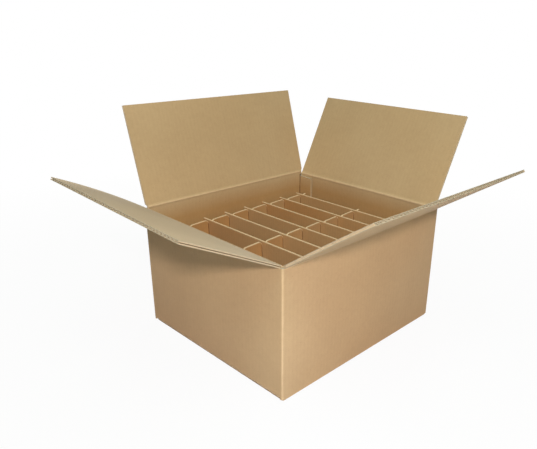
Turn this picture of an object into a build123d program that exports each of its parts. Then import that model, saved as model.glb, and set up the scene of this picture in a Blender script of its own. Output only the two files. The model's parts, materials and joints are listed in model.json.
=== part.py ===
"""Corrugated bottle shipping box, standing open, with an interlocking partition that makes its bottle cells.

Millimetres, +Z up. The origin is at the middle of the underside. X runs along the box, and the front wall
faces -Y. The four top flaps stand at the angles at which the open box was left.
"""
import os

from build123d import *

# Outside of the carton: its top is the fold of the two long flaps
carton_length = 400.0
carton_width = 357.0
carton_height = 229.5

# Single-wall board of the carton: two liners with a fluted medium between them
board = 4.4
liner = 0.5
medium = 0.45
flute_pitch = 7.9
fold_inner_radius = 0.9

# Folds and closure of the carton
fold_clearance = 0.3
layer_clearance = 0.3
bottom_seam = 0.5
top_seam = 1.2
long_flap_inset = 2.4
short_flap_inset = 5.2
crushed_fold = 9.0
glue_lap_width = 34.0
glue_lap_drop = 0.6
glue_lap_taper = 1.0
joint_seam = 0.8

# How far each top flap leans out from upright, in degrees
left_flap_angle = 62.8
right_flap_angle = 26.8
front_flap_angle = 57.8
back_flap_angle = 15.4

# Partition: thinner board, long strips along X and cross strips along Y
divider_board = 3.0
divider_height = 173.5
cross_divider_count = 8
end_buffer = 17.1
side_buffer = 18.4
divider_end_clearance = 1.2
slot_play = 0.8
slot_lap_play = 0.4
slot_mouth_radius = 7.5

# Trapezoid flutes, as shares of the flute pitch from the middle of a channel
channel_base_share = 0.36
channel_crest_share = 0.07

# Reach of a cutting solid past the face that it cuts
overrun = 2.0

# Levels and inside sizes that follow from the sizes above
layer_step = board + layer_clearance
long_fold_level = carton_height
short_fold_level = carton_height - layer_step
floor_level = layer_step + board
fold_outer_radius = board + fold_inner_radius
inside_length = carton_length - 2 * board
inside_width = carton_width - 2 * board
flap_length = (carton_width - top_seam) / 2
long_flap_width = carton_length - 2 * long_flap_inset
short_flap_width = carton_width - 2 * short_flap_inset
cross_divider_pitch = (inside_length - 2 * end_buffer) / (cross_divider_count - 1)
long_divider_pitch = inside_width / 2 - side_buffer


def upright_bar(x_low, x_high, y_low, y_high, z_low, z_high):
    """Solid between two corners."""
    size = Box(x_high - x_low, y_high - y_low, z_high - z_low, align=(Align.MIN, Align.MIN, Align.MIN))
    return Pos(x_low, y_low, z_low) * size


def mitre_wedge(width):
    """Cutter over a wall's top: from the fold line at its outer face it falls at 45 degrees to the inside.

    The fold line runs along X through the origin, and the inside of the box is towards +Y.
    """
    start = -fold_clearance / 2 ** 0.5
    reach = board + overrun
    profile = Plane.YZ * Polygon(
        (-overrun, start + overrun),
        (reach, start - reach),
        (reach, overrun),
        (-overrun, overrun),
        align=None,
    )
    return extrude(profile, (width + 2 * overrun) / 2, both=True)


def wall_places():
    """Each wall's place: the middle of its fold line, turned so that local +Y points into the box."""
    return {
        "front": Pos(0, -carton_width / 2, long_fold_level) * Rot(0, 0, 0),
        "back": Pos(0, carton_width / 2, long_fold_level) * Rot(0, 0, 180),
        "left": Pos(-carton_length / 2, 0, short_fold_level) * Rot(0, 0, -90),
        "right": Pos(carton_length / 2, 0, short_fold_level) * Rot(0, 0, 90),
    }


def wall_ring():
    """Four walls folded round from one sheet, with soft corners and the glue lap inside the right wall."""
    outline = RectangleRounded(carton_length, carton_width, fold_outer_radius)
    outline -= RectangleRounded(inside_length, inside_width, fold_inner_radius)
    ring = extrude(outline, short_fold_level)

    # The right wall's free end stands square at the back corner, beside the fold of the lap
    half_length = carton_length / 2
    half_width = carton_width / 2
    end_low = half_width - fold_outer_radius
    ring += upright_bar(half_length - board, half_length, end_low, half_width, 0, short_fold_level)
    seam_high = half_length - board
    seam_low = seam_high - joint_seam
    ring -= upright_bar(
        seam_low, seam_high, half_width - board / 2, half_width + overrun, -overrun, carton_height + overrun
    )
    return ring + glue_lap()


def glue_lap():
    """Tongue of the back wall, glued flat inside the right wall, with both ends cut to a taper."""
    outer = carton_length / 2 - board
    root = carton_width / 2 - board
    low = floor_level + glue_lap_drop
    high = short_fold_level - board - glue_lap_drop
    tip = root - glue_lap_width
    profile = Plane.YZ * Polygon(
        (root, low),
        (root, high),
        (tip, high - glue_lap_taper),
        (tip, low + glue_lap_taper),
        align=None,
    )
    return Pos(outer - board, 0, 0) * extrude(profile, board)


def long_wall_tops():
    """The front and back walls rise one layer above the short walls, so that their flaps close over."""
    low = short_fold_level - board
    side = long_flap_width / 2
    outer = carton_width / 2
    inner = outer - board
    front = upright_bar(-side, side, -outer, -inner, low, long_fold_level)
    back = upright_bar(-side, side, inner, outer, low, long_fold_level)
    outline = RectangleRounded(carton_length, carton_width, fold_outer_radius)
    return (front + back) & extrude(outline, long_fold_level)


def rounded_bottom_cutter(length, level):
    """Cutter that rounds the outer fold along a wall's foot: local +Y points into the box, as in wall_places."""
    radius = fold_outer_radius
    block = Plane.YZ * Polygon(
        (-overrun, level - overrun),
        (radius, level - overrun),
        (radius, level + radius),
        (-overrun, level + radius),
        align=None,
    )
    round_fold = Plane.YZ * (Pos(radius, level + radius) * Circle(radius))
    return extrude(block - round_fold, (length + 2 * overrun) / 2, both=True)


def bottom_flaps():
    """Two short flaps folded in first, with the two long flaps closed over them and glued."""
    half_length = carton_length / 2
    half_width = carton_width / 2
    short_side = short_flap_width / 2
    long_side = long_flap_width / 2
    seam_side = bottom_seam / 2
    flaps = []
    for outer in (-half_length, half_length):
        tip = outer - flap_length if outer > 0 else outer + flap_length
        low = min(outer, tip)
        high = max(outer, tip)
        flaps.append(upright_bar(low, high, -short_side, short_side, layer_step, floor_level))
    flaps.append(upright_bar(-long_side, long_side, -half_width, -seam_side, 0, board))
    flaps.append(upright_bar(-long_side, long_side, seam_side, half_width, 0, board))
    return flaps


def carton_body():
    """The folded sheet without its top flaps: walls, glue lap and closed bottom, as one solid."""
    body = wall_ring() + long_wall_tops()

    # Under the short walls the sheet ends at their own fold, one layer up
    half_length = carton_length / 2
    half_width = carton_width / 2
    long_side = long_flap_width / 2
    for low, high in ((-half_length - overrun, -long_side), (long_side, half_length + overrun)):
        body -= upright_bar(low, high, -half_width - overrun, half_width + overrun, -overrun, layer_step)
    body += bottom_flaps()

    # Soft folds along the feet of the walls
    places = wall_places()
    for name, length, level in (
        ("front", carton_length, -long_fold_level),
        ("back", carton_length, -long_fold_level),
        ("left", carton_width, layer_step - short_fold_level),
        ("right", carton_width, layer_step - short_fold_level),
    ):
        cutter = places[name] * rounded_bottom_cutter(length, level)
        if name in ("left", "right"):
            cutter -= upright_bar(
                -carton_length, carton_length, -carton_width, carton_width, -overrun * 2, layer_step
            )
        body -= cutter

    # Mitred tops under the flaps
    body -= places["front"] * mitre_wedge(carton_length)
    body -= places["back"] * mitre_wedge(carton_length)
    for name in ("left", "right"):
        body -= places[name] * mitre_wedge(inside_width - 2 * fold_inner_radius)
    return body


def flute_channels(width, length):
    """Open channels between the liners and the medium, running up a flap whose hinge line lies along X."""
    count = round(width / flute_pitch)
    pitch = width / count
    base = channel_base_share * pitch
    crest = channel_crest_share * pitch
    near = liner
    far = board - liner
    channels = []
    for step in range(2 * count + 1):
        middle = -width / 2 + step * pitch / 2
        wide, narrow = (near, far - medium) if step % 2 == 0 else (far, near + medium)
        outline = Polygon(
            (middle - base, wide),
            (middle + base, wide),
            (middle + crest, narrow),
            (middle - crest, narrow),
            align=None,
        )
        channels.append(Pos(0, 0, crushed_fold) * extrude(outline, length))
    return channels


def top_flap(width):
    """Flap standing upright on its fold line along X, outer face at Y = 0, with its flutes open at the edge."""
    half_width = width / 2
    flap = upright_bar(-half_width, half_width, 0, board, 0, flap_length)

    # Mitred foot, which meets the wall's mitre when the flap is closed
    start = fold_clearance / 2 ** 0.5
    reach = board + overrun
    foot = Plane.YZ * Polygon(
        (-overrun, start - overrun),
        (reach, start + reach),
        (reach, -overrun),
        (-overrun, -overrun),
        align=None,
    )
    flap -= extrude(foot, half_width + overrun, both=True)
    return flap - flute_channels(width, flap_length)


def slot_cutter(depth):
    """Upright slot for a crossing strip, centred on X. It starts at Z = 0 and is open past its depth."""
    width = divider_board + slot_play
    height = depth + overrun
    slot = Plane.XZ * (Pos(0, height / 2) * Rectangle(width, height))
    return extrude(slot, divider_board, both=True)


def slot_mouth_cutter(depth):
    """Flare that rounds both corners of a slot's mouth, so that the crossing strip slides in."""
    radius = slot_mouth_radius
    middle = (divider_board + slot_play) / 2 + radius
    level = depth - radius
    flare = Pos(0, level + (radius + overrun) / 2) * Rectangle(2 * middle, radius + overrun)
    flare -= Pos(middle, level) * Circle(radius)
    flare -= Pos(-middle, level) * Circle(radius)
    return extrude(Plane.XZ * flare, divider_board, both=True)


def cross_divider_places():
    """Where the cross strips stand along X."""
    middle = (cross_divider_count - 1) / 2
    return [(index - middle) * cross_divider_pitch for index in range(cross_divider_count)]


def long_divider_places():
    """Where the long strips stand along Y: one in the middle and one beside each long wall."""
    return [-long_divider_pitch, 0, long_divider_pitch]


def long_divider():
    """Strip along X, slotted from its top edge at each cross strip."""
    half = inside_length / 2 - board - divider_end_clearance
    thick = divider_board / 2
    strip = upright_bar(-half, half, -thick, thick, 0, divider_height)
    depth = (divider_height + slot_lap_play) / 2
    for place in cross_divider_places():
        foot = Pos(place, 0, divider_height - depth)
        strip -= foot * slot_cutter(depth)
        strip -= foot * slot_mouth_cutter(depth)
    return strip


def cross_divider():
    """Strip along X before it is turned, slotted from its lower edge at each long strip."""
    half = inside_width / 2 - divider_end_clearance
    thick = divider_board / 2
    strip = upright_bar(-half, half, -thick, thick, 0, divider_height)
    depth = (divider_height + slot_lap_play) / 2
    for place in long_divider_places():
        strip -= Pos(place, 0, depth) * Rot(180, 0, 0) * slot_cutter(depth)
    return strip


def all_nodes():
    """Every piece by name, in its place."""
    places = wall_places()
    nodes = {"carton_body": carton_body()}
    long_flap = top_flap(long_flap_width)
    short_flap = top_flap(short_flap_width)
    for name, flap, angle in (
        ("front", long_flap, front_flap_angle),
        ("back", long_flap, back_flap_angle),
        ("left", short_flap, left_flap_angle),
        ("right", short_flap, right_flap_angle),
    ):
        nodes[f"{name}_flap"] = places[name] * Rot(angle, 0, 0) * flap

    strip = long_divider()
    for name, place in zip(("front", "middle", "back"), long_divider_places()):
        nodes[f"long_divider_{name}"] = Pos(0, place, floor_level) * strip
    cross_strip = cross_divider()
    for number, place in enumerate(cross_divider_places(), start=1):
        nodes[f"cross_divider_{number}"] = Pos(place, 0, floor_level) * Rot(0, 0, 90) * cross_strip
    return nodes


os.makedirs("parts", exist_ok=True)
for node_name, shape in all_nodes().items():
    export_step(shape, f"parts/{node_name}.step")
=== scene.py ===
"""A corrugated bottle shipping box, standing open with its partition of interlocking strips, in metres."""
import json
import math

import bmesh
import bpy
import numpy as np
from mathutils import Matrix, Vector


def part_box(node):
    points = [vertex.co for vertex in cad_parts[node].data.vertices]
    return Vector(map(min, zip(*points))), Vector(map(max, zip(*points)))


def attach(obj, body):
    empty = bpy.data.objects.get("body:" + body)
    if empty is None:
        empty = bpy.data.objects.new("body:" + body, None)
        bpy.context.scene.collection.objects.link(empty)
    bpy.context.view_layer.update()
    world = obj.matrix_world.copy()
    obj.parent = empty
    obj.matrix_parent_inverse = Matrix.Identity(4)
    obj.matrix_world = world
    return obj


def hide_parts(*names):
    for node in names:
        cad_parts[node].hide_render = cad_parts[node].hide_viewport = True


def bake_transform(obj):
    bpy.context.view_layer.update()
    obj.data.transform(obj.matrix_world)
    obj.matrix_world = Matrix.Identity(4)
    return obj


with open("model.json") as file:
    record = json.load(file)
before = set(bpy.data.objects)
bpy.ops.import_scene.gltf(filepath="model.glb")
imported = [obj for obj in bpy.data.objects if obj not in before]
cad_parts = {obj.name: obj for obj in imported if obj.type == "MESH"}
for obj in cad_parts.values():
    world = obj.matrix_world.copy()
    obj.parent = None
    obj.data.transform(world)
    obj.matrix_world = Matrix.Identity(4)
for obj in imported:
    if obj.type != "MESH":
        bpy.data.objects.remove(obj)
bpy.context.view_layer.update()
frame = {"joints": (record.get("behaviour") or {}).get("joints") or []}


# Carton walls
# Four walls folded round from one sheet of single-wall kraft board, with scored corners. The sheet's ends
# meet at the back right corner, where a tongue of the back wall turns in and is glued inside the right wall.
board = 0.0044
liner = 0.0007
flute_pitch = 0.0079
corner_radius = 0.0053
layer_clearance = 0.0003
layer_step = board + layer_clearance
fold_zone = 0.005
wall_bulge = 0.0016
core_setback = 0.003
lap_width = 0.034
lap_taper = 0.001
lap_drop = 0.0006
lap_pinch_share = 0.62
# At the lap's edge the inner liner is painted pale, partly rubbed, partly a painted highlight, and the open
# core carries a painted shadow.
lap_edge_rub_and_shade = 0.7
lap_edge_reach = 0.0012
# Pale paint at the middle of the rounded corners, partly rubbed paper, partly a painted highlight.
corner_rub_and_highlight = 0.4
corner_squareness = 5
# A pale line painted along the folds, partly rubbed fibres, partly a painted highlight on the crease.
fold_rub_and_highlight = 0.75
fold_pale_reach = 0.0011
top_bow = {"front": 0.002, "right": 0.0015, "back": 0.0, "left": 0.0}
crease_drop = {"front": 0.005, "right": 0.0, "back": 0.0, "left": 0.0}
bow_power = 1.5
lap_pinch_start = 0.35
near_corner = np.array((0, 0.0015, 0.004, 0.008, 0.016))
wall_steps = 22
wall_rows = 17
corner_steps = 13
lap_steps = 5
smooth_angle = 40

_, carton_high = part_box("carton_body")
half_length = carton_high.x
half_width = carton_high.y
folds = {joint["child"]: joint for joint in frame["joints"]}
long_level = folds["front_flap"]["pos_m"][2]
short_level = folds["left_flap"]["pos_m"][2]


def closed_sheet(near, far, sheet, wear_and_painted_light):
    """A thin closed sheet between two grids of points, with its faces, sheet places, cut edges, and marks of
    wear and painted light.
    """
    rows, columns = near.shape[:2]
    count = rows * columns
    index = np.arange(count).reshape(rows, columns)
    face = np.stack([index[:-1, :-1], index[:-1, 1:], index[1:, 1:], index[1:, :-1]], -1).reshape(-1, 4)
    rim = np.concatenate([index[0], index[1:, -1], index[-1, -2::-1], index[-2:0:-1, 0]])
    after = np.roll(rim, -1)
    edge = np.stack([after, rim, rim + count, after + count], -1)
    return {
        "points": np.concatenate([near.reshape(-1, 3), far.reshape(-1, 3)]),
        "faces": np.concatenate([face, face[:, ::-1] + count, edge]),
        "places": np.tile(sheet.reshape(-1, 2), (2, 1)),
        "cut": np.concatenate([np.zeros(2 * len(face), int), np.ones(len(edge), int)]),
        "wear_and_painted_light": np.tile(wear_and_painted_light.reshape(-1), 2),
    }


def inner_paper(sheet):
    """The same sheet with its two papered sides in the finish of the carton's inside."""
    sheet["cut"][sheet["cut"] == 0] = 2
    return sheet


def make_piece(name, sheets, finishes):
    """One mesh object from several closed sheets, with the finish of the paper and of its cut edges."""
    starts = np.cumsum([0] + [len(sheet["points"]) for sheet in sheets[:-1]])
    points = np.concatenate([sheet["points"] for sheet in sheets])
    faces = np.concatenate([sheet["faces"] + start for sheet, start in zip(sheets, starts)])
    places = np.concatenate([sheet["places"] for sheet in sheets])
    mesh = bpy.data.meshes.new(name)
    mesh.from_pydata(points.tolist(), [], faces.tolist())
    layer = mesh.uv_layers.new(name="sheet")
    corners = np.zeros(len(mesh.loops), int)
    mesh.loops.foreach_get("vertex_index", corners)
    layer.data.foreach_set("uv", places[corners].astype(np.float32).ravel())
    mesh.polygons.foreach_set("material_index", np.concatenate([sheet["cut"] for sheet in sheets]))
    wear_and_painted_light = mesh.attributes.new("wear_and_painted_light", "FLOAT", "POINT")
    wear_and_painted_light.data.foreach_set("value", np.concatenate([sheet["wear_and_painted_light"] for sheet in sheets]).astype(np.float32))
    shape = bmesh.new()
    shape.from_mesh(mesh)
    bmesh.ops.recalc_face_normals(shape, faces=shape.faces)
    shape.to_mesh(mesh)
    shape.free()
    mesh.shade_smooth()
    mesh.set_sharp_from_angle(angle=math.radians(smooth_angle))
    for material in finishes:
        mesh.materials.append(material)
    piece = bpy.data.objects.new(name, mesh)
    bpy.context.scene.collection.objects.link(piece)
    return piece


def kraft_paper(name, deep, pale, rub_and_highlight, flute, washboard, blush, shaded_below=None):
    """Unbleached kraft paper: cloudy brown pulp, short fibres, dark specks and a print of the flutes.

    Its mark attribute above zero paints it pale: rubbed paper, and partly a painted highlight on folds,
    corners and edges. Below zero it multiplies in painted shade for slits, gaps and slots. The blush is how
    far some stretches turn redder. Below the given level the paper carries a painted shade, darker and more
    orange, for the dim inside of the box.
    """
    material = bpy.data.materials.new(name)
    material.use_nodes = True
    tree = material.node_tree
    shader = tree.nodes["Principled BSDF"]
    shader.inputs["Specular IOR Level"].default_value = 0.16
    shader.inputs["Sheen Weight"].default_value = 0.10
    shader.inputs["Sheen Roughness"].default_value = 0.5
    cloud_share = 0.55
    clump_share = 0.45
    fibre_share = 0.45
    inside_shade_reach = 0.03
    pale_mark_floor = 0.35
    clump_relief = 0.6
    fibre_relief = 0.35
    wave_relief = 0.12
    mix_colour_inputs = (6, 7)
    mix_colour_output = 2
    red_shade = (0.98, 0.86, 0.72)
    inside_shade_colour = (0.83, 0.69, 0.51)
    speck_shade = (0.66, 0.58, 0.50)
    # Painted shade colour, multiplied in where the mark is below zero.
    painted_shade_colour = (0.30, 0.24, 0.18)

    def node(kind, **settings):
        made = tree.nodes.new(kind)
        for key, value in settings.items():
            made.inputs[key.replace("_", " ")].default_value = value
        return made

    def maths(operation, first, second=None):
        made = tree.nodes.new("ShaderNodeMath")
        made.operation = operation
        for socket, value in zip(made.inputs, (first, second)):
            if isinstance(value, (int, float)):
                socket.default_value = value
            elif value is not None:
                tree.links.new(value, socket)
        return made.outputs[0]

    def tint(factor, colour, shade, blend="MIX"):
        made = tree.nodes.new("ShaderNodeMix")
        made.data_type = "RGBA"
        made.blend_type = blend
        made.clamp_factor = True
        tree.links.new(factor, made.inputs["Factor"])
        for number, value in zip(mix_colour_inputs, (colour, shade)):
            if isinstance(value, tuple):
                made.inputs[number].default_value = (*value, 1)
            else:
                tree.links.new(value, made.inputs[number])
        return made.outputs[mix_colour_output]

    place = tree.nodes.new("ShaderNodeUVMap")
    place.uv_map = "sheet"

    def pulp(scale, detail, along):
        stretch = node("ShaderNodeMapping", Scale=(1, along, 1))
        tree.links.new(place.outputs["UV"], stretch.inputs["Vector"])
        noise = node("ShaderNodeTexNoise", Scale=scale, Detail=detail, Roughness=0.6)
        tree.links.new(stretch.outputs[0], noise.inputs["Vector"])
        return noise.outputs["Fac"]

    cloud = pulp(scale=9, detail=3, along=0.8)
    clump = pulp(scale=140, detail=4, along=0.75)
    fibre = pulp(scale=900, detail=2, along=0.5)
    speck = pulp(scale=520, detail=1, along=0.9)

    across = tree.nodes.new("ShaderNodeSeparateXYZ")
    tree.links.new(place.outputs["UV"], across.inputs[0])
    wave = maths("SINE", maths("MULTIPLY", across.outputs["X"], 2 * math.pi / flute))

    tone = maths("MULTIPLY_ADD", cloud, cloud_share)
    tone.node.inputs[2].default_value = 0.5 - 0.5 * (cloud_share + clump_share + fibre_share)
    tone = maths("ADD", tone, maths("MULTIPLY", clump, clump_share))
    tone = maths("ADD", tone, maths("MULTIPLY", fibre, fibre_share))
    tone = maths("ADD", tone, maths("MULTIPLY", wave, washboard))
    colour = tint(tone, deep, pale)

    redder = node("ShaderNodeMapRange", From_Min=0.42, From_Max=0.62, To_Max=blush)
    tree.links.new(pulp(scale=2.6, detail=1, along=1.0), redder.inputs["Value"])
    colour = tint(redder.outputs[0], colour, red_shade, "MULTIPLY")
    # Painted shade: below the given level the paper is multiplied darker and more orange, for the dim inside
    # of the box.
    if shaded_below is not None:
        inside_shade = node("ShaderNodeMapRange", From_Min=shaded_below, From_Max=shaded_below - inside_shade_reach)
        tree.links.new(across.outputs["Y"], inside_shade.inputs["Value"])
        colour = tint(inside_shade.outputs[0], colour, inside_shade_colour, "MULTIPLY")

    dots = node("ShaderNodeMapRange", From_Min=0.71, From_Max=0.79)
    tree.links.new(speck, dots.inputs["Value"])
    colour = tint(dots.outputs[0], colour, speck_shade, "MULTIPLY")

    # The mark above zero paints the paper pale: rubbed paper, partly a painted highlight. Below zero it
    # multiplies in painted shade.
    rub_and_painted_light = tree.nodes.new("ShaderNodeAttribute")
    rub_and_painted_light.attribute_name = "wear_and_painted_light"
    patchy = maths("ADD", clump, pale_mark_floor)
    colour = tint(maths("MULTIPLY", rub_and_painted_light.outputs["Fac"], patchy), colour, rub_and_highlight)
    colour = tint(maths("MULTIPLY", rub_and_painted_light.outputs["Fac"], -1), colour, painted_shade_colour, "MULTIPLY")
    tree.links.new(colour, shader.inputs["Base Color"])

    gloss = node("ShaderNodeMapRange", To_Min=0.52, To_Max=0.72)
    tree.links.new(clump, gloss.inputs["Value"])
    tree.links.new(gloss.outputs[0], shader.inputs["Roughness"])

    relief = maths("ADD", maths("MULTIPLY", clump, clump_relief), maths("MULTIPLY", fibre, fibre_relief))
    relief = maths("ADD", relief, maths("MULTIPLY", wave, wave_relief))
    bump = node("ShaderNodeBump", Strength=0.2, Distance=0.0004)
    tree.links.new(relief, bump.inputs["Height"])
    tree.links.new(bump.outputs[0], shader.inputs["Normal"])
    return material


# Pale paint for rubbed paper and for painted highlights.
rub_and_highlight_kraft = (0.72, 0.53, 0.31)
carton_kraft = kraft_paper("carton_kraft", deep=(0.43, 0.283, 0.142), pale=(0.60, 0.42, 0.225),
                           rub_and_highlight=rub_and_highlight_kraft, flute=flute_pitch, washboard=0.025, blush=0.25)
cut_board = kraft_paper("cut_board", deep=(0.37, 0.31, 0.21), pale=(0.52, 0.45, 0.32),
                        rub_and_highlight=rub_and_highlight_kraft, flute=flute_pitch, washboard=0.0, blush=0.0)
# The inside paper carries painted shade below the short flaps' fold level.
inside_kraft = kraft_paper("inside_kraft", deep=(0.415, 0.28, 0.146), pale=(0.575, 0.415, 0.232),
                           rub_and_highlight=rub_and_highlight_kraft, flute=flute_pitch, washboard=0.025, blush=0.25,
                           shaded_below=short_level)


crease_level = {"front": long_level, "back": long_level, "left": short_level, "right": short_level}
wall_top = {name: level - crease_drop[name] - fold_zone for name, level in crease_level.items()}
wall_foot = {"front": corner_radius, "back": corner_radius,
             "left": layer_step + corner_radius, "right": layer_step + corner_radius}
panel_middle = {}


def wall_columns():
    """Columns of the sheet from above, from the right wall's free end round to the tip of the glue lap."""
    x = half_length
    y = half_width
    r = corner_radius
    tuck = x - board
    route = (
        ("corner", Vector((x, y)), Vector((x, y - r)), None),
        ("right", Vector((x, y - r)), Vector((x, -y + r)), Vector((x - r, -y + r))),
        ("front", Vector((x - r, -y)), Vector((-x + r, -y)), Vector((-x + r, -y + r))),
        ("left", Vector((-x, -y + r)), Vector((-x, y - r)), Vector((-x + r, y - r))),
        ("back", Vector((-x + r, y)), Vector((tuck - r, y)), Vector((tuck - r, y - r))),
        ("lap", Vector((tuck, y - r)), Vector((tuck, y - board - lap_width)), None),
    )
    columns = []
    run = 0.0
    for panel, first, last, pivot in route:
        span = (last - first).length
        along = (last - first) / span
        inward = Vector((along.y, -along.x))
        if panel in wall_top:
            panel_middle[panel] = run + (0.5 * span if panel != "back" else x - r)
            between = np.linspace(near_corner[-1], span - near_corner[-1], wall_steps)[1:-1]
            steps = np.concatenate([near_corner, between, span - near_corner[::-1]])
        else:
            steps = sorted([*np.linspace(0, span, lap_steps), span - lap_edge_reach])
        for step in steps:
            belly = 1 - (2 * step / span - 1) ** 2
            columns.append((first + along * step, inward, panel, run + step, belly, 0.0))
        run += span
        if pivot is not None:
            for share in np.linspace(0, 1, corner_steps):
                angle = share * math.pi / 2
                spoke = along * math.sin(angle) - inward * math.cos(angle)
                if panel == "back":
                    fold, reach = "lap fold", r
                    pinch = lap_pinch_start + (1 - lap_pinch_start) * math.sin(2 * angle)
                else:
                    square = math.sin(angle) ** corner_squareness + math.cos(angle) ** corner_squareness
                    fold, pinch, reach = "corner", 0.0, r * square ** (-1 / corner_squareness)
                # Pale paint across the corner's arc, partly rubbed paper, partly a painted highlight.
                rub_and_painted_light = corner_rub_and_highlight * math.sin(2 * angle) ** corner_squareness
                columns.append((pivot + spoke * reach, -spoke, fold, run + r * angle, pinch, rub_and_painted_light))
            run += r * math.pi / 2
    return columns


def wall_layer(columns, outer_depth, inner_depth, setback=0.0):
    """One layer of the wall sheet between two depths, set back at its ends and pinched at the lap's fold."""
    length = columns[-1][3]
    lap_start = length - lap_width + corner_radius - board
    rows = np.linspace(0, 1, wall_rows)
    near = np.zeros((len(rows), len(columns), 3))
    far = np.zeros_like(near)
    sheet = np.zeros((len(rows), len(columns), 2))
    wear_and_painted_light = np.zeros((len(rows), len(columns)))
    for c, (point, inward, panel, run, belly, rub_and_painted_light) in enumerate(columns):
        slide = setback * (max(1 - run / corner_radius, 0) - max(1 - (length - run) / corner_radius, 0))
        squeeze = 1 - lap_pinch_share * belly if panel == "lap fold" else 1
        along = Vector((-inward.y, inward.x))
        if panel == "lap":
            taper = lap_taper * (run - lap_start) / (length - lap_start)
            foot = layer_step + board + lap_drop + taper
            top = short_level - board - lap_drop - taper
        else:
            foot = wall_foot.get(panel, layer_step)
            top = wall_top.get(panel, short_level)
        for r, share in enumerate(rows):
            z = foot + (top - foot) * share
            push = 0.0
            if panel in wall_top:
                push = wall_bulge * math.sin(math.pi * share) + top_bow[panel] * share ** bow_power
            face = point + along * slide - inward * push * belly
            near[r, c] = (*(face + inward * outer_depth * squeeze), z)
            far[r, c] = (*(face + inward * inner_depth * squeeze), z)
            sheet[r, c] = (run, z)
            at_lap_edge = length - run < lap_edge_reach / 2
            # The outer paper takes the pale corner paint. Painted shade fills the pinched slit of the lap's
            # fold, and a painted shadow the open core at the lap's edge, where the inner liner is painted
            # pale, partly rubbed and partly a painted highlight.
            if outer_depth == 0:
                wear_and_painted_light[r, c] = rub_and_painted_light
            elif panel == "lap fold":
                wear_and_painted_light[r, c] = -belly
            elif at_lap_edge:
                wear_and_painted_light[r, c] = lap_edge_rub_and_shade if setback == 0 else -lap_edge_rub_and_shade
    return closed_sheet(near, far, sheet, wear_and_painted_light)


columns = wall_columns()
walls = make_piece("carton_walls", [
    wall_layer(columns, 0, liner),
    wall_layer(columns, liner, board - liner, core_setback),
    inner_paper(wall_layer(columns, board - liner, board)),
], [carton_kraft, cut_board, inside_kraft])
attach(walls, "carton")
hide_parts("carton_body")


# Carton bottom
# The sheet's four bottom flaps, folded in under the walls: first the short pair, then the long pair over it,
# glued shut so that their ends meet in one seam along the middle of the underside. Their sides are open.
bottom_seam = 0.0005
bottom_flap_length = half_width - bottom_seam / 2
open_flute = 0.006
bottom_turn_steps = 9
bottom_flat_shares = (0.1, 0.5, 1.0)
bottom_steps = 25


def wall_axes(name):
    """Outward and along-fold directions of a wall, and the middle of its outer face at floor level."""
    outward = {"front": Vector((0, -1, 0)), "back": Vector((0, 1, 0)),
               "left": Vector((-1, 0, 0)), "right": Vector((1, 0, 0))}[name]
    along = Vector((outward.y, -outward.x, 0))
    reach = half_width if outward.y else half_length
    return outward, along, outward * reach


def bottom_layer(name, level, outer_depth, inner_depth, setback):
    """One layer of a bottom flap: a quarter turn under its wall, then flat to its free end."""
    outward, along, foot = wall_axes(name)
    side = (half_length if outward.y else half_width) - corner_radius - setback
    flat_length = bottom_flap_length - corner_radius - setback / 2
    turns = [(angle, 0.0) for angle in np.linspace(0, math.pi / 2, bottom_turn_steps)]
    turns += [(math.pi / 2, share * flat_length) for share in bottom_flat_shares]
    places = np.linspace(-side, side, bottom_steps)
    near = np.zeros((len(turns), len(places), 3))
    far = np.zeros_like(near)
    sheet = np.zeros((len(turns), len(places), 2))
    wear_and_painted_light = np.zeros((len(turns), len(places)))
    for r, (angle, flat) in enumerate(turns):
        for grid, depth in ((near, outer_depth), (far, inner_depth)):
            radius = corner_radius - depth
            inset = corner_radius - radius * math.cos(angle) + flat
            height = level + corner_radius - radius * math.sin(angle)
            for c, place in enumerate(places):
                grid[r, c] = foot - outward * inset + along * place + Vector((0, 0, height))
        for c, place in enumerate(places):
            sheet[r, c] = (panel_middle[name] + place, wall_foot[name] - corner_radius * angle - flat)
        # Pale line along the fold, partly rubbed fibres, partly a painted highlight.
        wear_and_painted_light[r] = fold_rub_and_highlight * math.sin(2 * angle)
    return closed_sheet(near, far, sheet, wear_and_painted_light)


bottom_sheets = []
for name, level in (("front", 0), ("back", 0), ("left", layer_step), ("right", layer_step)):
    bottom_sheets += [
        bottom_layer(name, level, 0, liner, 0),
        bottom_layer(name, level, liner, board - liner, open_flute),
        inner_paper(bottom_layer(name, level, board - liner, board, 0)),
    ]
bottom = make_piece("carton_bottom", bottom_sheets, [carton_kraft, cut_board, inside_kraft])
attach(bottom, "carton")
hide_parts("carton_body")


# Partition strips
# Strips of thinner corrugated board, flutes upright, slotted to half their height where they cross. The long
# strips are slotted from the top, with rounded mouths, and the cross strips from below, so they interlock.
strip_liner = 0.0005
strip_medium = 0.0003
strip_flute = 0.0064
slot_play = 0.0022
slot_lap = 0.0002
mouth_radius = 0.0075
crushed_rise = 0.0001
crushed_thickness = 0.0005
frayed_edge = 0.0007
# The top of each strip's faces is painted pale, partly frayed paper, partly a painted highlight on the top
# edge.
frayed_rub_and_highlight = 0.85
tab_twist = 0.0026
slot_painted_shade = 0.9
slot_shade_reach = 0.0012
twist_power = 1.5
strip_wave_steps = 10
mouth_steps = 8
station_gap = 0.0001
slot_step = 0.0001
tab_shares = (0.0, 0.5, 0.7, 0.85, 1.0)
plain_shares = (0.0, 1.0)
strip_sheet_step = 0.7
long_names = ("front", "middle", "back")
cross_numbers = range(1, 9)

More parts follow.
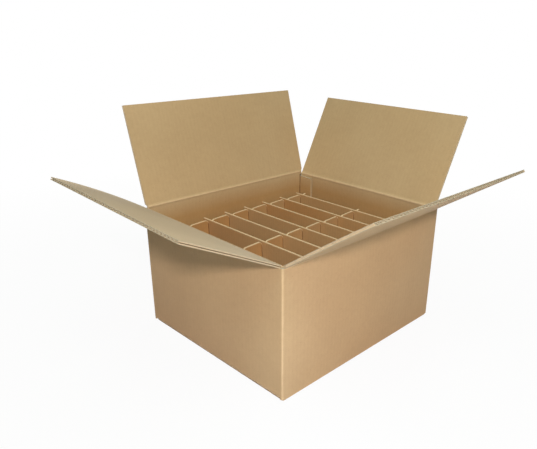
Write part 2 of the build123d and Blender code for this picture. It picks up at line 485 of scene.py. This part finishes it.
fray_and_highlight_kraft = (0.80, 0.60, 0.36)
strip_kraft = kraft_paper("strip_kraft", deep=(0.37, 0.210, 0.086), pale=(0.51, 0.308, 0.134),
                          rub_and_highlight=fray_and_highlight_kraft, flute=strip_flute, washboard=0.05, blush=1.0)
strip_edge = kraft_paper("strip_edge", deep=(0.62, 0.44, 0.25), pale=(0.82, 0.62, 0.39),
                         rub_and_highlight=fray_and_highlight_kraft, flute=strip_flute, washboard=0.0, blush=0.0)

cross_boxes = [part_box(f"cross_divider_{number}") for number in cross_numbers]
long_boxes = [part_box(f"long_divider_{name}") for name in long_names]
cross_places = [(low.x + high.x) / 2 for low, high in cross_boxes]
long_places = [(low.y + high.y) / 2 for low, high in long_boxes]


def strip_profile(half, height, places, thickness, from_top):
    """Stations along a strip: the lowest and highest level of the board there, and how dark its faces are.

    The faces carry painted shade along the open slots, where little light gets in.
    """
    side = (thickness + slot_play) / 2
    stations = list(np.arange(-half, half, strip_flute / strip_wave_steps)) + [half]
    for place in places:
        stations = [s for s in stations if abs(abs(s - place) - side) > station_gap]
        for edge in (-side, side):
            stations += [place + edge * (1 - slot_step), place + edge * (1 + slot_step)]
        if from_top:
            for angle in np.linspace(0, math.pi / 2, mouth_steps)[1:-1]:
                reach = side + mouth_radius * (1 - math.cos(angle))
                stations += [place - reach, place + reach]
    profile = []
    for s in sorted(stations):
        low, high, slot_shade = 0.0, height, 0.0
        for place in places:
            gap = abs(s - place)
            if from_top and side < gap < side + slot_shade_reach:
                slot_shade = slot_painted_shade
            if gap < side and from_top:
                high = height / 2 - slot_lap
            elif gap < side:
                low = height / 2 + slot_lap
            elif from_top and gap < side + mouth_radius:
                inset = side + mouth_radius - gap
                high = height - mouth_radius + math.sqrt(max(mouth_radius ** 2 - inset ** 2, 0))
        profile.append((s, low, high, slot_shade))
    return profile


def strip_sheets(profile, thickness, place_point, sheet_start, body_shares):
    """The strip's two liners, its fluted medium and the crushed top edge that closes the flutes."""
    half = thickness / 2
    crest = half - strip_liner - strip_medium / 2

    def flute_wave(s):
        return crest * math.sin(2 * math.pi * s / strip_flute)

    def layer(corners, rub_and_painted_light):
        grids = np.zeros((2, len(rub_and_painted_light), len(profile), 3))
        sheet = np.zeros((len(rub_and_painted_light), len(profile), 2))
        wear_and_painted_light = np.tile(np.array(rub_and_painted_light)[:, None], len(profile))
        for c, (s, low, high, slot_shade) in enumerate(profile):
            # Painted shade on the faces beside each open slot.
            wear_and_painted_light[1:-2, c] -= slot_shade
            for r, sides in enumerate(corners(s, low, high)):
                for g, (depth, z) in enumerate(sides):
                    grids[g, r, c] = place_point(s, depth, z)
                sheet[r, c] = (sheet_start + s, sides[0][1])
        return closed_sheet(grids[0], grids[1], sheet, wear_and_painted_light)

    def upright(outer, inner):
        def corners(s, low, high):
            rim = high - 2 * frayed_edge
            levels = [low + (rim - low) * share for share in body_shares] + [high - frayed_edge, high]
            return [((outer(s), z), (inner(s), z)) for z in levels]
        # The top two rows are painted pale, frayed paper and a painted highlight.
        return layer(corners, (*(0.0 for share in body_shares), frayed_rub_and_highlight, frayed_rub_and_highlight))

    def crushed(s, low, high):
        top = high + crushed_rise
        sides = (strip_liner - half, half - strip_liner)
        return [((depth, top), (depth, top - crushed_thickness)) for depth in sides]

    edge = layer(crushed, (0.0, 0.0))
    edge["cut"][:] = 1
    return [
        upright(lambda s: -half, lambda s: strip_liner - half),
        upright(lambda s: flute_wave(s) - strip_medium / 2, lambda s: flute_wave(s) + strip_medium / 2),
        upright(lambda s: half - strip_liner, lambda s: half),
        edge,
    ]


def make_strip(name, number, places, is_long):
    """One partition strip where its solid stands. The tabs of a long strip have twisted a little."""
    low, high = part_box(name)
    middle = (low + high) / 2
    size = high - low
    length, thickness = (size.x, size.y) if is_long else (size.y, size.x)

    def place_point(s, depth, z):
        if is_long:
            tab = (s - places[0]) / (places[1] - places[0])
            inside = 0 < tab < len(places) - 1
            lean = tab_twist * (2 * (tab % 1) - 1) if inside else 0.0
            rise = max(2 * z / size.z - 1, 0) ** twist_power
            return (middle.x + s, middle.y + depth + lean * rise, low.z + z)
        return (middle.x + depth, middle.y + s, low.z + z)

    profile = strip_profile(length / 2, size.z, places, thickness, from_top=is_long)
    body_shares = tab_shares if is_long else plain_shares
    sheets = strip_sheets(profile, thickness, place_point, strip_sheet_step * number, body_shares)
    strip = make_piece(name + "_board", sheets, [strip_kraft, strip_edge])
    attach(strip, "carton")
    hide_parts(name)


for number, name in enumerate(long_names, start=1):
    make_strip(f"long_divider_{name}", number, cross_places, is_long=True)
for number in cross_numbers:
    make_strip(f"cross_divider_{number}", number + len(long_names), long_places, is_long=False)


# Top flaps
# The sheet's four top flaps, each bent out at its pressed fold. Their cut ends show the board's make-up: two
# flat liners with the wavy medium glued between them, flutes running from the fold to the free edge.
medium = 0.0005
top_seam = 0.0012
flap_length = half_width - top_seam / 2
bend_radius = 0.0010
bead_height = 0.0007
bead_reach = 0.0018
groove_way = 0.0042
groove_reach = 0.0012
groove_share = 0.35
bow_reach = 0.03
open_side = 0.003
crushed_side = 0.0002
side_wear = 0.75
side_gap = {"front": 0.0001, "back": 0.0012, "left": 0.0012, "right": 0.0012}
crushed_end = 0.0016
crushed_end_thickness = 0.0008
wave_steps = 12
flat_steps = 33
end_steps = 31
bend_steps = 11
bend_run = 0.001
fold_ways = (0.0012, 0.0018, 0.0026, 0.0036)
flap_foot_ways = (0.005, 0.008, 0.014)
plain_start = 0.025
plain_end = 0.004
plain_steps = 10
spread_start = 0.001
spread_reach = 0.004
warp_power = 1.3


def flap_rows(lean, drop, ways):
    """Stations on the straight of a flap: distance out and up of the outer face, lean there and way along."""
    out = flap_length * math.sin(lean)
    rise = flap_length * math.cos(lean) + drop
    turn = math.atan2(out, rise)
    return [(out * way / flap_length, rise * way / flap_length - drop, turn, way) for way in ways]


def fold_rows(lean, drop):
    """Stations up the top of a wall and round its fold."""
    run_in = bend_radius * math.tan(lean / 2)
    rows = [(0.0, -way - drop, 0.0, -way) for way in (fold_zone, *reversed(fold_ways))]
    for share in np.linspace(0, 1, bend_steps):
        turn = lean * share
        rise = bend_radius * math.sin(turn) - run_in - drop
        rows.append((bend_radius * (1 - math.cos(turn)), rise, turn, (share - 0.5) * bend_run))
    return rows


def make_flap(name, end_warps, bows):
    """One top flap with its fold, where its solid stands. The board's warp lifts its sides to the inside."""
    fold = folds[f"{name}_flap"]
    lean = math.radians(fold["range_deg"][1] - 90)
    drop = crease_drop[name]
    hinge = Vector(fold["pos_m"])
    outward, along, _ = wall_axes(name)
    up = Vector((0, 0, 1))
    flap_low, flap_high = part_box(f"{name}_flap")
    size = flap_high - flap_low
    half = (size.x if outward.y else size.y) / 2
    fold_half = min(half, (half_length if outward.y else half_width) - corner_radius)
    flap_in = up * math.sin(lean) - outward * math.cos(lean)

    def layer(rows, places, outer, inner):
        near = np.zeros((len(rows), len(places), 3))
        far = np.zeros_like(near)
        sheet = np.zeros((len(rows), len(places), 2))
        wear_and_painted_light = np.zeros((len(rows), len(places)))
        for r, (out, rise, turn, way) in enumerate(rows):
            base = hinge + outward * out + up * rise
            inward = up * math.sin(turn) - outward * math.cos(turn)
            bead = math.exp(-(way / bead_reach) ** 2)
            bead -= groove_share * math.exp(-((way - groove_way) / groove_reach) ** 2)
            bead *= bead_height
            spread = min(max((way - spread_start) / spread_reach, 0), 1)
            row_half = fold_half + (half - fold_half) * spread
            share = max(way, 0) / flap_length
            for c, place in enumerate(places):
                across = place / half
                shares = ((1 - across) / 2, (1 + across) / 2)
                warp = sum(end * part for end, part in zip(end_warps, shares)) * share ** warp_power
                warp += sum(bow * part for bow, part in zip(bows, shares)) * 4 * share * (1 - share)
                bulge = top_bow[name] * (1 - across ** 2) * math.exp(-max(way, 0) / bow_reach)
                point = base + along * (across * row_half) + flap_in * warp + outward * bulge
                for grid, depth in ((near, outer(place)), (far, inner(place))):
                    grid[r, c] = point + inward * (depth + bead * depth / board)
                sheet[r, c] = (panel_middle[name] + place, hinge.z - drop + way)
            # Pale line along the fold, partly rubbed fibres, partly a painted highlight.
            wear_and_painted_light[r] = fold_rub_and_highlight * math.exp(-(way / fold_pale_reach) ** 2)
        return closed_sheet(near, far, sheet, wear_and_painted_light)

    crest = board / 2 - liner - medium / 2
    count = round(2 * half / flute_pitch)

    def flute_wave(place):
        return board / 2 - crest * math.cos(2 * math.pi * count * (place + half) / (2 * half))

    plain_ways = np.linspace(plain_start, flap_length - plain_end, plain_steps)
    ways = [*fold_ways, *flap_foot_ways, *plain_ways, flap_length]
    straight = flap_rows(lean, drop, ways)
    rows = fold_rows(straight[0][2], drop) + straight
    end_way = flap_length - crushed_end
    end_rows = flap_rows(lean, drop, (end_way - crushed_end_thickness, end_way))
    flat_places = np.linspace(-half, half, flat_steps)
    wave_places = np.linspace(open_side - half, half - open_side, count * wave_steps + 1)
    end_places = np.linspace(open_side - half, half - open_side, end_steps)
    crushed = [layer(end_rows, end_places, lambda place: liner, lambda place: board - liner)]
    gap = side_gap[name]
    for side in (-1, 1):
        side_places = side * (half - crushed_side - np.array((0, crushed_end_thickness)))
        for low, high in ((liner, (board - gap) / 2), ((board + gap) / 2, board - liner)):
            crushed.append(layer(rows, side_places, lambda place: low, lambda place: high))
            crushed[-1]["wear_and_painted_light"][:] = side_wear
    for strip in crushed:
        strip["cut"][:] = 1
    fluted = layer(rows, wave_places, lambda place: flute_wave(place) - medium / 2,
                   lambda place: flute_wave(place) + medium / 2)
    fluted["cut"][:] = 1
    flap = make_piece(f"{name}_flap_board", [
        layer(rows, flat_places, lambda place: 0.0, lambda place: liner),
        fluted,
        inner_paper(layer(rows, flat_places, lambda place: board - liner, lambda place: board)),
        *crushed,
    ], [carton_kraft, cut_board, inside_kraft])
    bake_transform(flap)
    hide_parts(f"{name}_flap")


make_flap("front", end_warps=(-0.001, 0.003), bows=(0.0, 0.001))
make_flap("back", end_warps=(0.0, 0.0), bows=(0.0, 0.0))
make_flap("left", end_warps=(-0.002, 0.004), bows=(0.0, 0.004))
make_flap("right", end_warps=(0.0, 0.0), bows=(0.0, 0.0))


# Floor, light and camera
# A white sheet under the box and four soft lamps, as in a plain product picture: one by the camera, one
# overhead, one low behind the box and a faint one at its foot. The camera is where the photo was taken.
floor_half = 8.0
floor_tone = (0.78, 0.78, 0.78, 1)
room_strength = 0.02
floor_mesh = bpy.data.meshes.new("floor")
floor_mesh.from_pydata([(-floor_half, -floor_half, 0), (floor_half, -floor_half, 0),
                        (floor_half, floor_half, 0), (-floor_half, floor_half, 0)], [], [(0, 1, 2, 3)])
floor = bpy.data.objects.new("floor", floor_mesh)
bpy.context.scene.collection.objects.link(floor)


def shown_white(tree, lit, white):
    """A mix that camera, glossy and transmitted rays see as white and others as lit, and its factor."""
    path = tree.nodes.new("ShaderNodeLightPath")
    seen = path.outputs["Is Camera Ray"]
    for ray in ("Is Glossy Ray", "Is Transmission Ray"):
        either = tree.nodes.new("ShaderNodeMath")
        either.operation = "MAXIMUM"
        tree.links.new(seen, either.inputs[0])
        tree.links.new(path.outputs[ray], either.inputs[1])
        seen = either.outputs[0]
    mix = tree.nodes.new("ShaderNodeMixShader")
    tree.links.new(lit, mix.inputs[1])
    tree.links.new(white, mix.inputs[2])
    return mix, seen


floor_white = bpy.data.materials.new("floor_white")
floor_white.use_nodes = True
tree = floor_white.node_tree
tree.nodes.remove(tree.nodes["Principled BSDF"])
paper = tree.nodes.new("ShaderNodeBsdfDiffuse")
paper.inputs["Color"].default_value = floor_tone
glow = tree.nodes.new("ShaderNodeEmission")
mix, seen = shown_white(tree, paper.outputs[0], glow.outputs[0])
spot = tree.nodes.new("ShaderNodeNewGeometry")
far_off = tree.nodes.new("ShaderNodeVectorMath")
far_off.operation = "LENGTH"
tree.links.new(spot.outputs["Position"], far_off.inputs[0])
fade = tree.nodes.new("ShaderNodeMapRange")
for key, value in (("From Min", 0.4), ("From Max", 1.3), ("To Min", 0.94), ("To Max", 1.0)):
    fade.inputs[key].default_value = value
tree.links.new(far_off.outputs["Value"], fade.inputs["Value"])
share = tree.nodes.new("ShaderNodeMath")
share.operation = "MULTIPLY"
tree.links.new(seen, share.inputs[0])
tree.links.new(fade.outputs[0], share.inputs[1])
tree.links.new(share.outputs[0], mix.inputs[0])
tree.links.new(mix.outputs[0], tree.nodes["Material Output"].inputs["Surface"])
floor_mesh.materials.append(floor_white)

world = bpy.data.worlds.new("room")
bpy.context.scene.world = world
world.use_nodes = True
tree = world.node_tree
room = tree.nodes["Background"]
room.inputs["Color"].default_value = (1.0, 1.0, 1.0, 1)
room.inputs["Strength"].default_value = room_strength
white = tree.nodes.new("ShaderNodeBackground")
white.inputs["Color"].default_value = (1, 1, 1, 1)
mix, seen = shown_white(tree, room.outputs[0], white.outputs[0])
tree.links.new(seen, mix.inputs[0])
tree.links.new(mix.outputs[0], tree.nodes["World Output"].inputs["Surface"])


def soft_lamp(name, place, aim, size, power, colour):
    """A square soft lamp turned towards a point."""
    lamp = bpy.data.lights.new(name, "AREA")
    lamp.size = size
    lamp.energy = power
    lamp.color = colour
    holder = bpy.data.objects.new(name, lamp)
    bpy.context.scene.collection.objects.link(holder)
    holder.location = place
    holder.rotation_euler = (Vector(aim) - Vector(place)).to_track_quat("-Z", "Y").to_euler()


soft_lamp("camera_lamp", place=(-1.14, -1.34, 1.10), aim=(0, 0, 0.10),
          size=0.15, power=29, colour=(1.0, 0.90, 0.88))
soft_lamp("ceiling_lamp", place=(-0.5, -0.6, 1.8), aim=(0, 0, 0.2),
          size=1.0, power=15.5, colour=(0.74, 1.0, 0.90))
soft_lamp("back_fill", place=(1.75, 1.0, 0.40), aim=(0, 0, 0.12),
          size=0.7, power=27, colour=(1.0, 0.96, 0.88))
soft_lamp("floor_bounce", place=(-0.29, -0.39, 0.03), aim=(-0.15, -0.16, 0.06),
          size=0.14, power=0.28, colour=(0.52, 0.66, 1.0))

eye = Vector((-0.6774, -0.6778, 0.5388))
look_azimuth = math.radians(43.462)
look_down = math.radians(22.268)
roll = math.radians(1.226)
image_width = 537
sensor_width = 36
focal_pixels = 550.6
centre_offset_pixels = (39.2, 24.5)

forward = Vector((math.cos(look_down) * math.cos(look_azimuth),
                  math.cos(look_down) * math.sin(look_azimuth), -math.sin(look_down)))
right = forward.cross(Vector((0, 0, 1))).normalized()
upward = right.cross(forward)
tilted_right = right * math.cos(roll) + upward * math.sin(roll)
tilted_up = upward * math.cos(roll) - right * math.sin(roll)
camera_data = bpy.data.cameras.new("camera")
camera_data.sensor_width = sensor_width
camera_data.lens = focal_pixels / image_width * sensor_width
camera_data.shift_x = -centre_offset_pixels[0] / image_width
camera_data.shift_y = centre_offset_pixels[1] / image_width
camera = bpy.data.objects.new("camera", camera_data)
bpy.context.scene.collection.objects.link(camera)
facing = Matrix((tilted_right, tilted_up, -forward)).transposed()
camera.matrix_world = Matrix.Translation(eye) @ facing.to_4x4()
bpy.context.scene.camera = camera
bpy.context.scene.view_settings.view_transform = "Standard"
